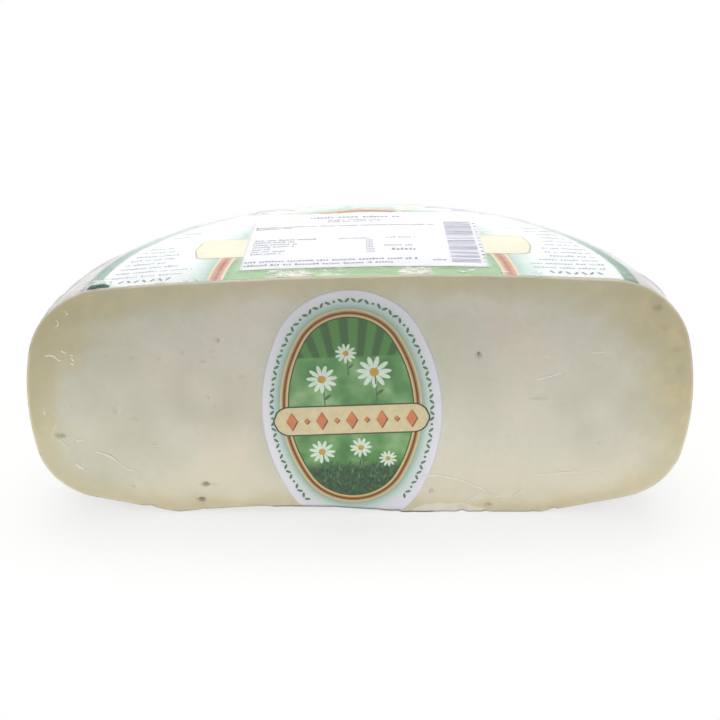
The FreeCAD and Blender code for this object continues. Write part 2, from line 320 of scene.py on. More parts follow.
def spin_body(bm, ground, right, left):
    """Spin the right half of the outline round to the left half, on the CAD surface."""
    row = bm.verts.layers.int.new("row")
    line = [bm.verts.new(point) for point in right]
    for number, vert in enumerate(line):
        vert[row] = number
    edges = [bm.edges.new(pair) for pair in zip(line, line[1:])]
    bmesh.ops.spin(bm, geom=line + edges, cent=AXIS, axis=(0, 0, 1), angle=math.pi, steps=TURNS)
    points = places(bm)
    rows = np.array([vert[row] for vert in bm.verts])
    turn = np.abs(np.arctan2(points[:, 1] - CUT, points[:, 0]))
    share = (1 - np.cos(turn)) / 2
    reach = (1 - share) * right[rows, 0] - share * left[rows, 0]
    level = (1 - share) * right[rows, 2] + share * left[rows, 2]
    points = np.column_stack([reach * np.cos(turn), CUT + reach * np.sin(turn), level])
    # The first and last lines stay in the cut, and the axis stays where it is.
    inner = (turn > 0.005) & (turn < math.pi - 0.005) & (reach > 1e-5)
    for k in np.flatnonzero(inner):
        points[k] = ground.find_nearest(Vector(points[k]))[0]
    move_to(bm.verts, points)
    free = [vert for vert, loose in zip(bm.verts, inner) if loose]
    for _ in range(3):
        bmesh.ops.smooth_vert(bm, verts=free, factor=0.5,
                              use_axis_x=True, use_axis_y=True, use_axis_z=True)


def whole_cheese():
    """The closed half wheel with a fine mesh, and its outline in the cut."""
    ground = cad_surface("cheese")
    right, left = half_outline(ground, 1), half_outline(ground, -1)
    bm = bmesh.new()
    spin_body(bm, ground, right, left)
    outline = np.vstack([right, left[-2:0:-1]])
    patch(bm, outline, ACROSS, UP)
    bmesh.ops.remove_doubles(bm, verts=bm.verts[:], dist=MERGE)
    for face in bm.faces:
        face.material_index = 0 if all(abs(v.co.y - CUT) < 1e-7 for v in face.verts) else 1
    bmesh.ops.recalc_face_normals(bm, faces=bm.faces[:])
    seam = [edge for edge in bm.edges
            if len({face.material_index for face in edge.link_faces}) == 2]
    bmesh.ops.bevel(bm, geom=seam, offset=0.55 * MM, offset_type="OFFSET", segments=2, profile=0.5,
                    affect="EDGES", material=-1, clamp_overlap=True)
    return bm, outline


# Small faults of the cut face: across, height, half width, half height and depth, in millimetres.
PITS = [(47, 73, 0.8, 0.8, 1.8), (-56.5, 79, 1.1, 1.0, 0.7), (-80, 71, 0.9, 0.8, 0.5),
        (-63, 70, 1.8, 0.5, 0.5), (-70, 65.5, 2.2, 1.3, 0.4), (-47.5, 63, 1.5, 0.6, 0.45),
        (-61.5, 54, 0.7, 0.9, 0.5), (-59.5, 50, 1.2, 0.7, 0.4), (-91, 71.5, 1.5, 0.5, 0.4),
        (-101, 72, 0.6, 0.5, 0.5), (-69.5, 86, 1.4, 1.8, 0.35), (-71, 73.5, 0.8, 1.2, 0.35),
        (-58.5, 74, 2.0, 0.45, 0.4), (-58.5, 71.5, 2.4, 0.45, 0.4), (-81, 66.5, 2.6, 0.4, 0.3),
        (-99.5, 48, 0.9, 1.8, 0.4), (-92, 44, 2.0, 0.6, 0.4), (-85, 32.5, 1.2, 0.6, 0.45),
        (-64.5, 13.5, 1.5, 1.1, 1.3), (-63, 13.5, 4.0, 0.45, 0.6), (-66.5, 6, 1.6, 1.2, 1.5),
        (-95, 12.5, 0.9, 0.7, 0.6), (-123, 36.5, 2.6, 1.1, 0.9), (115.5, 92.5, 1.8, 1.6, 0.8),
        (119.5, 84, 2.0, 1.2, 0.5), (125, 75, 3.0, 1.1, 0.5), (128, 66.5, 1.8, 2.2, 0.5),
        (128, 55.5, 2.4, 1.3, 0.5), (73, 72.5, 3.0, 1.0, 0.3), (72, 53.5, 4.5, 0.5, 0.5),
        (84, 21, 6.0, 0.5, 0.35), (30, 10, 1.0, 1.6, 0.7), (54, 3.5, 1.6, 0.8, 0.8),
        (-118, 50, 1.2, 0.8, 0.4), (98, 33, 1.0, 0.8, 0.35), (60, 36, 0.8, 0.6, 0.3)]


def sink_pits(bm):
    """Divide the cut face round each fault, and sink it."""
    def away(vert, margin=0.0):
        gap = (vert.co - middle) / MM
        return math.hypot(gap.x / (wide + margin), gap.z / (tall + margin))

    for across, height, wide, tall, depth in PITS:
        middle = Vector((across * MM, CUT, height * MM))
        near = [edge for edge in bm.edges
                if all(away(vert, 1.3) < 1 and vert.co.y - CUT < FLAT for vert in edge.verts)]
        bmesh.ops.subdivide_edges(bm, edges=near, cuts=3, use_grid_fill=True)
        for vert in bm.verts:
            if vert.normal.y < -0.5 and away(vert) < 1.35:
                uneven = 1 + 0.35 * noise.noise(vert.co / (0.6 * MM))
                vert.co.y += depth * MM * uneven * (1 - float(ease(away(vert), 0.3, 1.3)))


def pit_shade_share(points):
    """How much painted shade lies in the faults of the cut: 0 on the plain face, 1 in the deepest
    pits.
    """
    sunk = np.zeros(len(points))
    near = points[:, 1] - CUT < 2.4 * MM
    for across, height, wide, tall, depth in PITS:
        away = np.hypot((points[:, 0] / MM - across) / wide, (points[:, 2] / MM - height) / tall)
        shade = np.clip(0.7 * depth - 0.28, 0.0, 1.0) * (1 - ease(away, 0.3, 1.1))
        sunk = np.maximum(sunk, near * shade)
    return sunk


def give_relief(bm):
    """The unevenness of the rind, the drag of the knife and the crumbled lower edge."""
    bm.normal_update()
    points = places(bm)
    normals = np.array([vert.normal for vert in bm.verts])
    mm = points / MM
    inside = mm[:, 1] - CUT / MM
    height = mm[:, 2]
    rind = ease(inside, 0.0, 2.5)
    free = ease(height, 0.3, 7.0)
    swell = 0.30 * rough(mm, 34) + 0.13 * rough(mm, 11, 5.0) + 0.05 * rough(mm, 4, 9.0)
    points += normals * (swell * rind * free)[:, None] * MM
    drag = 0.10 * rough(mm, (80, 40, 9), 3.0) + 0.05 * rough(mm, (30, 40, 4), 7.0)
    face = (normals[:, 1] < -0.9) & (inside < 2)
    points[:, 1] += np.where(face, drag * MM, 0.0)
    # Bites out of the lower edge, larger to the right of the oval label and at the far left.
    low = (1 - ease(height, 1.2, 4.2)) * (1 - ease(inside, 1.0, 4.0))
    low *= 0.45 + 0.55 * np.maximum(ease(mm[:, 0], 34, 44), ease(-mm[:, 0], 60, 90))
    crumbs = rough(mm, (4.5, 30, 30), 2.0) + 0.5 * rough(mm, (1.9, 8, 8), 4.0)
    bite = np.clip(crumbs + 0.1, 0, 1) * low
    points[:, 1] += 1.3 * bite * MM
    points[:, 2] += 0.9 * bite * MM
    points[:, 2] = np.maximum(points[:, 2], 0.35 * MM)
    move_to(bm.verts, points)


def rim_depth(points, outline):
    """How far from the rim of the cut each point lies in the cut face, in millimetres."""
    rim = spaced(np.vstack([outline, outline[:1]]), 6000)
    finder = KDTree(len(rim))
    for number, point in enumerate(rim):
        finder.insert((point[0], 0, point[2]), number)
    finder.balance()
    return np.array([finder.find((x, 0, z))[2] / MM if y - CUT < 2 * MM else 0.0
                     for x, y, z in points])


def dry_and_top_light_share(mm, depth):
    """How dry the paste is: most at the rim, in a band that is widest at the right and at the
    upper left. The band is weaker along the top of the middle, which is painted light."""
    across, height = mm[:, 0], mm[:, 2]
    width = 4.6 + 3.5 * ease(np.abs(across), 95, 122) + 2.0 * ease(height, 70, 98)
    width += 4.0 * ease(-across, 60, 115) * ease(height, 25, 60)
    width += 5.5 * ease(-across, 84, 118) * ease(height, 52, 82)
    width += 11 * ease(across, 65, 125) * ease(height, 8, 60)
    width *= 1 + 0.50 * rough(mm, 24, 1.0) + 0.45 * rough(mm, 8, 2.0) + 0.2 * rough(mm, 3, 4.0)
    strength = 0.62 + 0.38 * ease(height, 10, 60)
    # Weaker along the top of the middle: painted light, which lightens the top edge of the cut.
    strength -= 0.25 * ease(height, 86, 97) * (1 - ease(np.abs(across), 92, 112))
    return strength * (1 - ease(depth / width, 0.25, 1.9))


# Darker, wetter clouds in the paste: across, height, width and strength.
CLOUDS = [(-72, 48, 38, 1.0), (-36, 40, 14, 0.7), (104, 44, 26, 0.9), (50, 63, 12, 0.5)]


def cloud_share(mm):
    """How much of a dark cloud lies at each point of the cut."""
    share = sum(strength * np.exp(-((mm[:, 0] - x) / wide) ** 2 - ((mm[:, 2] - z) / 20) ** 2)
                for x, z, wide, strength in CLOUDS)
    return share * (0.8 + 0.9 * rough(mm, 12, 9.0))


def coat_depth(mm, depth):
    """How deep a point lies in the cream coating, which shows as a line round the cut, and as a
    crumbled band at the foot to the right of the oval label."""
    across, height = mm[:, 0], mm[:, 2]
    crumbled = ease(across, 21, 27) * (1 - ease(across, 42, 58)) * (1 - ease(height, 6, 14))
    thick = 0.42 + 0.16 * rough(mm, 5, 3.0) + 3.6 * crumbled * (1 + 0.35 * rough(mm, 4.5, 8.0))
    return thick - depth


def make_cheese():
    """The half wheel with its rind and cut face. Gives its surface, to press the labels on, and a
    copy of its mesh for the film."""
    bm, outline = whole_cheese()
    bm.normal_update()
    under_film = bm.copy()
    sink_pits(bm)
    give_relief(bm)
    give_relief(under_film)
    ground = BVHTree.FromBMesh(bm)
    points = places(bm)
    piece = new_piece("cheese_half", bm, [make_paste(), make_rind()], "cheese", "cheese")
    mm, depth = points / MM, rim_depth(points, outline)
    store(piece, "pit_shade", pit_shade_share(points))
    store(piece, "dry", dry_and_top_light_share(mm, depth))
    store(piece, "cloud", cloud_share(mm))
    store(piece, "coat", coat_depth(mm, depth))
    return ground, under_film


# What the cheese is made of.

def make_paste():
    """Goat cheese paste, cut with a wire: close and smooth, a little see-through, pale ivory with
    faint clouds, and drier and more olive towards the rind."""
    material, tree = new_material("goat_cheese_paste_wire_cut")
    place = add(tree, "TexCoord").outputs["Object"]
    clouds = add(tree, "TexNoise", {"Vector": place, "Scale": 1000 / 38, "Detail": 3.0,
                                    "Roughness": 0.55})
    ivory = add(tree, "ValToRGB", {"Fac": clouds}, stops={
        0.28: "cccbbb", 0.44: "d1d0c2", 0.56: "d5d2c6", 0.72: "d9d1c5"})
    grain = add(tree, "TexNoise", {"Vector": place, "Scale": 1000 / 2.2, "Detail": 4.0,
                                   "Roughness": 0.6})
    grain_shade = add(tree, "MapRange", {"Value": grain, "From Min": 0.3, "From Max": 0.7,
                                         "To Min": 0.965, "To Max": 1.02})
    mottled = add(tree, "VectorMath", {0: ivory, "Scale": grain_shade}, operation="SCALE")
    # Darker where the paste is wetter.
    cloud = add(tree, "Attribute", attribute_name="cloud").outputs["Fac"]
    cloud = add(tree, "Math", {0: cloud, 1: 0.42}, operation="MULTIPLY", use_clamp=True)
    mottled = add(tree, "Mix", {0: cloud, 6: mottled, 7: "b3b3a2"}, data_type="RGBA")
    # Lighter and creamier towards the foot, with a drifting edge: painted bounce light from the
    # floor.
    height = add(tree, "SeparateXYZ", {"Vector": place}).outputs["Z"]
    drift = add(tree, "Math", {0: clouds, 1: 0.06}, operation="MULTIPLY")
    height = add(tree, "Math", {0: height, 1: drift}, operation="SUBTRACT")
    low = add(tree, "MapRange", {"Value": height, "From Min": -0.026, "From Max": 0.002,
                                 "To Min": 0.75, "To Max": 0.0}, interpolation_type="SMOOTHSTEP")
    mottled = add(tree, "Mix", {0: low, 6: mottled, 7: "dbd4c1"}, data_type="RGBA")
    # Dried tan paste towards the rind, then the cream coating, which is whiter where it is thick.
    # The dried share is weaker along the top of the middle, as painted light.
    dry = add(tree, "Attribute", attribute_name="dry").outputs["Fac"]
    blotches = add(tree, "TexNoise", {"Vector": place, "Scale": 1000 / 9, "Detail": 4.0,
                                      "Roughness": 0.65})
    patchy = add(tree, "MapRange", {"Value": blotches, "From Min": 0.30, "From Max": 0.70,
                                    "To Min": 0.62, "To Max": 1.0})
    amount = add(tree, "Math", {0: dry, 1: patchy}, operation="MULTIPLY", use_clamp=True)
    tan = add(tree, "ValToRGB", {"Fac": blotches}, stops={
        0.30: "bbb086", 0.50: "c6bb94", 0.70: "d3c8a7"})
    dried = add(tree, "Mix", {0: amount, 6: mottled, 7: tan}, data_type="RGBA")
    coating = add(tree, "Attribute", attribute_name="coat").outputs["Fac"]
    coat = add(tree, "MapRange", {"Value": coating, "From Min": -0.25, "From Max": 0.10,
                                  "To Min": 0.0, "To Max": 0.6}, interpolation_type="SMOOTHSTEP")
    deep = add(tree, "MapRange", {"Value": coating, "From Min": 0.5, "From Max": 1.5})
    coat_tone = add(tree, "Mix", {0: deep, 6: "ebe5cb", 7: "e8e6e8"}, data_type="RGBA")
    edged = add(tree, "Mix", {0: coat, 6: dried, 7: coat_tone}, data_type="RGBA")
    # Rare pinholes as dark specks, and the faults of the cut: painted shade in both.
    pores = add(tree, "TexVoronoi", {"Vector": place, "Scale": 1000 / 6, "Randomness": 1.0})
    gap = pores.outputs["Distance"]
    pore = add(tree, "MapRange", {"Value": gap, "From Min": 0.02, "From Max": 0.06,
                                  "To Min": 1.0, "To Max": 0.0}, interpolation_type="SMOOTHSTEP")
    rare = add(tree, "MapRange", {"Value": pores.outputs["Color"], "From Min": 0.62,
                                  "From Max": 0.66})
    pore_and_pit_shade = add(tree, "Math", {0: pore, 1: rare}, operation="MULTIPLY")
    pore_and_pit_shade = add(tree, "Math", {0: pore_and_pit_shade, 1: 0.35}, operation="MULTIPLY")
    sunk = add(tree, "Attribute", attribute_name="pit_shade").outputs["Fac"]
    pore_and_pit_shade = add(tree, "Math", {0: pore_and_pit_shade, 1: sunk}, operation="MAXIMUM")
    final = add(tree, "Mix", {0: pore_and_pit_shade, 6: edged, 7: "807b5c"}, data_type="RGBA")
    fine = add(tree, "Bump", {"Strength": 0.25, "Distance": 0.00012, "Height": grain})
    broad = add(tree, "Bump", {"Strength": 0.3, "Distance": 0.0004, "Height": blotches,
                               "Normal": fine})
    surface = add(tree, "BsdfPrincipled", {
        "Base Color": final, "Roughness": 0.42, "IOR": 1.45, "Subsurface Weight": 0.12,
        "Subsurface Radius": (0.9, 0.8, 0.55), "Subsurface Scale": 0.004, "Normal": broad})
    add(tree, "OutputMaterial", {"Surface": surface})
    return material


def make_rind():
    """A goat wheel's rind under its brushed-on cream coating: waxy, a little uneven in tone, with
    the marks of the shelf and small bubbles."""
    material, tree = new_material("coated_cheese_rind")
    place = add(tree, "TexCoord").outputs["Object"]
    clouds = add(tree, "TexNoise", {"Vector": place, "Scale": 1000 / 45, "Detail": 5.0,
                                    "Roughness": 0.6})
    cream = add(tree, "ValToRGB", {"Fac": clouds}, stops={
        0.28: "dfd3b2", 0.45: "e7ddc3", 0.60: "ede5d0", 0.74: "f1ecdd"})
    # Whiter and lilac towards the shoulder: a painted sheen of the film where the top catches the
    # light.
    height = add(tree, "SeparateXYZ", {"Vector": place}).outputs["Z"]
    shoulder = add(tree, "MapRange", {"Value": height, "From Min": 0.056, "From Max": 0.098,
                                      "To Min": 0.0, "To Max": 0.85},
                   interpolation_type="SMOOTHSTEP")
    cream = add(tree, "Mix", {0: shoulder, 6: cream, 7: "f7f5fb"}, data_type="RGBA")
    spots = add(tree, "TexVoronoi", {"Vector": place, "Scale": 1000 / 7, "Randomness": 1.0},
                feature="SMOOTH_F1")
    spot = add(tree, "MapRange", {"Value": spots, "From Min": 0.05, "From Max": 0.3,
                                  "To Min": 0.28, "To Max": 0.0})
    spotted = add(tree, "Mix", {0: spot, 6: cream, 7: "d6c99f"}, data_type="RGBA")
    scuffs = add(tree, "TexNoise", {"Vector": place, "Scale": 1000 / 16, "Detail": 6.0,
                                    "Roughness": 0.7, "Distortion": 1.2})
    scuff = add(tree, "MapRange", {"Value": scuffs, "From Min": 0.56, "From Max": 0.72,
                                   "To Min": 0.0, "To Max": 0.55})
    wear_and_glare = add(tree, "Mix", {0: scuff, 6: spotted, 7: "f4f0e4"}, data_type="RGBA")
    skin = add(tree, "TexNoise", {"Vector": place, "Scale": 1000 / 1.6, "Detail": 3.0,
                                  "Roughness": 0.55})
    skin_bump = add(tree, "Bump", {"Strength": 0.35, "Distance": 0.0002, "Height": skin})
    dents = add(tree, "Bump", {"Strength": 0.5, "Distance": 0.0006, "Height": scuffs,
                               "Normal": skin_bump})
    surface = add(tree, "BsdfPrincipled", {
        "Base Color": wear_and_glare, "Roughness": 0.4, "IOR": 1.47, "Subsurface Weight": 0.08,
        "Subsurface Radius": (0.9, 0.75, 0.5), "Subsurface Scale": 0.003, "Normal": dents})
    add(tree, "OutputMaterial", {"Surface": surface})
    return material


# The labels' outlines, in millimetres. An oval's sizes are its half width, half height and end
# radius.

OVAL_AT = (-3.2, 47.0)            # middle of the oval label on the cut face
OVAL = (36.7, 53.25, 31.0)
OVAL_TURN = math.radians(2.2)     # the angle of its long axis to the vertical
RING_AT = (-0.3, 1.7)             # the gold ring on the oval label, from its middle
RING = (28.7, 43.6, 23.2)
ROUND = 107.6                     # radius of the label on the top
TOP_RING_AT = (1.2, 0.0)          # the orange ring on it, from the wheel's axis
TOP_RING = (60.2, 91.0, 46.0)
WEIGH = (98.0, 75.0)              # the weigh label along and across the cut
WEIGH_AT = (1.9, 8.9)             # middle of its front edge, from the wheel's axis
WEIGH_TURN = -0.5                 # in degrees

LIFT = 0.10 * MM                  # a label's back above what it lies on
PAPER, THIN_PAPER = 0.14 * MM, 0.12 * MM      # thicknesses

# How each label is looked at, its material slot and its CAD node.
FACE_LABEL = (FRONT, "printed_label", "face_label")
WHEEL_LABEL = (TOP, "printed_label", "wheel_label")
WEIGH_LABEL = (TOP, "thermal_label", "weigh_label")


def oval_side(wide, tall, end):
    """How far an oval's ends are set off from its middle, and the radius of its sides."""
    set_off = tall - end
    return set_off, (set_off ** 2 + wide ** 2 - end ** 2) / (2 * (wide - end))


def oval_depth(across, along, wide, tall, end):
    """How far inside a four-arc oval a point lies."""
    across, along = np.abs(across), np.abs(along)
    set_off, side = oval_side(wide, tall, end)
    by_side = along * (side - wide) < (across + side - wide) * set_off
    return np.where(by_side, side - np.hypot(across + side - wide, along),
                    end - np.hypot(across, along - set_off))


def arc(radius, middle, first, last):
    """Points on an arc round a middle, between two angles."""
    return [(radius * math.cos(a) + middle[0], radius * math.sin(a) + middle[1])
            for a in np.linspace(first, last, 200)]


def oval_outline(wide, tall, end, count):
    """Points round a four-arc oval, anticlockwise from the middle of its foot."""
    set_off, side = oval_side(wide, tall, end)
    meet = math.atan2(set_off, side - wide)
    foot = arc(end, (0, -set_off), -math.pi / 2, -meet)
    flank = arc(side, (wide - side, 0), -meet, 0)
    quarter = np.array(foot + flank[1:])
    upper = (quarter * (1, -1))[::-1][1:]
    half = np.vstack([quarter, upper])
    return spaced(np.vstack([half, (half * (-1, 1))[::-1][1:]]), count)[:-1]


def on_oval(across, along):
    """A place on the cut face, measured along the oval label's own axes."""
    x, z = across - OVAL_AT[0], along - OVAL_AT[1]
    return (x * math.cos(OVAL_TURN) + z * math.sin(OVAL_TURN),
            z * math.cos(OVAL_TURN) - x * math.sin(OVAL_TURN))


def flat_grid(outline, across, up):
    """A flat label cut to an outline in millimetres."""
    bm = bmesh.new()
    patch(bm, np.column_stack([np.asarray(outline) * MM, np.zeros(len(outline))]), across, up)
    return bm


def make_face_label(ground):
    """The oval label, pressed on the cut face and folded under the cheese at its foot."""
    across, up = 72, 104
    cosine, sine = math.cos(OVAL_TURN), math.sin(OVAL_TURN)
    outline = oval_outline(*OVAL, 2 * (across + up)) @ ((cosine, sine), (-sine, cosine)) + OVAL_AT
    bm = flat_grid(outline, across, up)
    below = -0.01                 # a look up at the cheese starts here
    soles = {}                    # the height of the cheese's lower edge, by whole millimetre
    for vert in bm.verts:
        x, v = vert.co.x, vert.co.y
        key = round(x / MM)
        if key not in soles:
            soles[key] = ground.ray_cast(Vector((x, CUT + 1.2 * MM, below)), -TOP)[0].z
        sole = soles[key] + 0.3 * MM
        if abs(v - sole) < 0.45 * MM:
            v = sole
        if v >= sole:
            hit = ground.ray_cast(Vector((x, CUT - OUTSIDE, max(v, sole + 0.3 * MM))), FRONT)[0]
            vert.co = Vector((x, hit.y - LIFT, v))
        else:
            hit = ground.ray_cast(Vector((x, CUT + max(sole - v, 1.0 * MM), below)), -TOP)[0]
            vert.co = Vector((x, CUT + sole - v - LIFT, hit.z - LIFT))
    thicken(bm, FRONT, PAPER)
    points = places(bm) / MM
    surface = BVHTree.FromBMesh(bm)
    piece = new_piece("oval_label", bm, [make_oval_print()], *FACE_LABEL[1:])
    across, along = on_oval(points[:, 0], points[:, 2] - np.maximum(0, points[:, 1] - CUT / MM))
    store(piece, "edge", oval_depth(across, along, *OVAL))
    store(piece, "ring", oval_depth(across - RING_AT[0], along - RING_AT[1], *RING))
    store(piece, "across", across)
    store(piece, "along", along)
    return surface


def make_wheel_label(ground):
    """The big round label on the top, cut with the cheese."""
    across, up = 184, 52
    front, gap = 0.55, 0.006      # from the cut to the label, and to its rim's ends, in radians
    right = [(x, front) for x in np.linspace(0, ROUND, 200)]
    rim = [(ROUND * math.cos(a), ROUND * math.sin(a)) for a in np.linspace(gap, math.pi - gap, 900)]
    left = [(x, front) for x in np.linspace(-ROUND, 0, 200)]
    outline = spaced(right + rim + left, 2 * (across + up))[:-1] + np.array((0, CUT / MM))
    bm = flat_grid(outline, across, up)
    press(bm, ground, TOP, LIFT, PAPER)
    points = places(bm) / MM
    surface = BVHTree.FromBMesh(bm)
    piece = new_piece("round_label", bm, [make_round_print()], *WHEEL_LABEL[1:])
    across, away = points[:, 0], points[:, 1] - CUT / MM
    store(piece, "edge", ROUND - np.hypot(across, away))
    store(piece, "ring", oval_depth(across - TOP_RING_AT[0], away, *TOP_RING))
    store(piece, "across", across)
    store(piece, "away", away)
    return surface


def make_weigh_label(ground):
    """The scale's label on the big one."""
    bm = bmesh.new()
    place = (Matrix.Translation((WEIGH_AT[0] * MM, CUT + (WEIGH_AT[1] + WEIGH[1] / 2) * MM, 0))
             @ Matrix.Rotation(math.radians(WEIGH_TURN), 4, "Z")
             @ Matrix.Diagonal((WEIGH[0] * MM, WEIGH[1] * MM, 1, 1)))
    bmesh.ops.create_grid(bm, x_segments=78, y_segments=60, size=0.5, matrix=place)
    press(bm, ground, TOP, LIFT, THIN_PAPER)
    surface = BVHTree.FromBMesh(bm)
    new_piece("scale_label", bm, [make_thermal_paper()], *WEIGH_LABEL[1:])
    return surface


# What the labels are made of.

def finish_paper(tree, tone, cockle, detail, strength, rise, roughness):
    """Gloss label paper that lies on cheese: a faint grain of its fibres, about 0.9 mm so that it
    shows, and cockles of a width in millimetres, a detail, a strength and a rise in metres."""
    place = add(tree, "TexCoord").outputs["Object"]
    pulp = add(tree, "TexNoise", {"Vector": place, "Scale": 1000 / 0.9, "Detail": 3.0})
    fibres = add(tree, "Bump", {"Strength": 0.12, "Distance": 0.00005, "Height": pulp})
    swells = add(tree, "TexNoise", {"Vector": place, "Scale": 1000 / cockle, "Detail": detail})
    cockled = add(tree, "Bump", {"Strength": strength, "Distance": rise, "Height": swells,
                                 "Normal": fibres})
    surface = add(tree, "BsdfPrincipled", {
        "Base Color": tone, "Roughness": roughness, "IOR": 1.48, "Normal": cockled})
    add(tree, "OutputMaterial", {"Surface": surface})


def make_oval_print():
    """Gloss paper, offset printed: a lilac white rim, a mint glow round a gold ring, and a soft
    green meadow under a darker sky of rays."""
    material, tree = new_material("gloss_label_paper_oval")
    edge, ring, across, along = (
        add(tree, "Attribute", attribute_name=name).outputs["Fac"]
        for name in ("edge", "ring", "across", "along"))
    # The field inside the ring: rays above, soft meadow in the middle, dark grass below.
    drop = add(tree, "Math", {0: along, 1: 14.0}, operation="ADD")
    angle = add(tree, "Math", {0: across, 1: drop}, operation="ARCTAN2")
    wave = add(tree, "Math", {0: angle, 1: 44.0}, operation="MULTIPLY")
    wave = add(tree, "Math", {0: wave}, operation="SINE")
    wave = add(tree, "MapRange", {"Value": wave, "From Min": -1.0, "From Max": 1.0})
    rays = add(tree, "ValToRGB", {"Fac": wave}, stops={0.30: "35662c", 0.62: "4f8a3a"})
    spot = add(tree, "CombineXYZ", {"X": across, "Y": along})
    blur = add(tree, "TexNoise", {"Vector": spot, "Scale": 1 / 13, "Detail": 2.0, "Roughness": 0.5})
    meadow = add(tree, "ValToRGB", {"Fac": blur}, stops={
        0.30: "3f7a3e", 0.45: "5c9450", 0.58: "82ab72", 0.72: "a9c39c"})
    tufts = add(tree, "TexNoise", {"Vector": spot, "Scale": 1 / 1.6, "Detail": 4.0,
                                   "Roughness": 0.7})
    grass = add(tree, "ValToRGB", {"Fac": tufts}, stops={
        0.32: "16301a", 0.50: "2c5330", 0.68: "4d7c4b"})
    horizon = add(tree, "Math", {0: along, 1: tufts}, operation="SUBTRACT")
    ground_share = add(tree, "MapRange", {"Value": horizon, "From Min": -27.0, "From Max": -21.5,
                                          "To Min": 1.0, "To Max": 0.0},
                       interpolation_type="SMOOTHSTEP")
    sky_share = add(tree, "MapRange", {"Value": along, "From Min": 24.6, "From Max": 25.4})
    field = add(tree, "Mix", {0: ground_share, 6: meadow, 7: grass}, data_type="RGBA")
    field = add(tree, "Mix", {0: sky_share, 6: field, 7: rays}, data_type="RGBA")
    # The ring and the rim, from 8 mm outside the ring's outer edge to 8 mm inside it.
    step = add(tree, "MapRange", {"Value": ring, "From Min": -8.0, "From Max": 8.0})
    bands = add(tree, "ValToRGB", {"Fac": step}, stops={
        0.02: "dcdae4", 0.20: "d9dade", 0.33: "c6d3cf", 0.42: "adc2ba", 0.494: "94ad9f",
        0.502: "dccda4", 0.535: "cdb585", 0.56: "b08648", 0.585: "8f5d2b", 0.597: "2f1b0c",
        0.612: "3c230f", 0.625: "b0743a", 0.650: "cf9f60", 0.672: "dccb9a", 0.690: "cbc08d",
        0.700: "24421f", 0.722: "2a4a27"})
    inner = add(tree, "MapRange", {"Value": ring, "From Min": 3.50, "From Max": 3.75})
    printed = add(tree, "Mix", {0: inner, 6: bands, 7: field}, data_type="RGBA")
    rim = add(tree, "MapRange", {"Value": edge, "From Min": 0.15, "From Max": 0.65})
    final = add(tree, "Mix", {0: rim, 6: "dcd9e4", 7: printed}, data_type="RGBA")
    finish_paper(tree, final, cockle=16, detail=1.0, strength=0.4, rise=0.0005, roughness=0.34)
    return material


